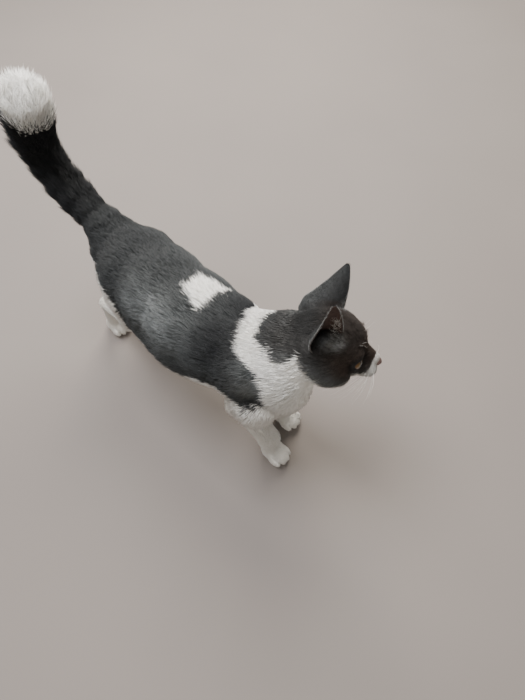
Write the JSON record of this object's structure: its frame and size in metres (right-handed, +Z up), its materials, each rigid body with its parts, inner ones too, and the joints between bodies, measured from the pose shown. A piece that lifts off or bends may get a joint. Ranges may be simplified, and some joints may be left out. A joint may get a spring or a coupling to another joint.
{
  "type": "cat",
  "caption": "Life-size still model of a standing short-haired domestic cat, blue-grey and white, head turned to its left and tail raised",
  "frame": {"origin": "on the floor under the middle of the cat's bounding box", "axes": "+X the way the body faces, +Y the cat's left side, +Z up"},
  "size_m": [0.5694, 0.1866, 0.4163],
  "materials": {
    "grey_coat": "soft plush fur",
    "dark_coat": "soft plush fur",
    "white_coat": "soft plush fur",
    "nose_skin": "damp, fine-grained",
    "eye": "wet gloss"
  },
  "bodies": {
    "root": {"trunk_chest": "grey_coat", "trunk_loin": "grey_coat", "trunk_rump": "grey_coat", "neck": "white_coat", "head": "dark_coat", "nose": "nose_skin", "eye_right": "eye", "eye_left": "eye", "ear_right": "grey_coat", "ear_left": "grey_coat", "tail_base": "grey_coat", "tail_middle": "dark_coat", "tail_tip": "white_coat", "foreleg_right_upper": "grey_coat", "foreleg_right_forearm": "white_coat", "foreleg_right_paw": "white_coat", "hindleg_right_thigh": "grey_coat", "hindleg_right_shank": "white_coat", "hindleg_right_foot": "white_coat", "hindleg_right_paw": "white_coat", "foreleg_left_upper": "grey_coat", "foreleg_left_forearm": "white_coat", "foreleg_left_paw": "white_coat", "hindleg_left_thigh": "grey_coat", "hindleg_left_shank": "white_coat", "hindleg_left_foot": "white_coat", "hindleg_left_paw": "white_coat"}
  },
  "joints": []
}
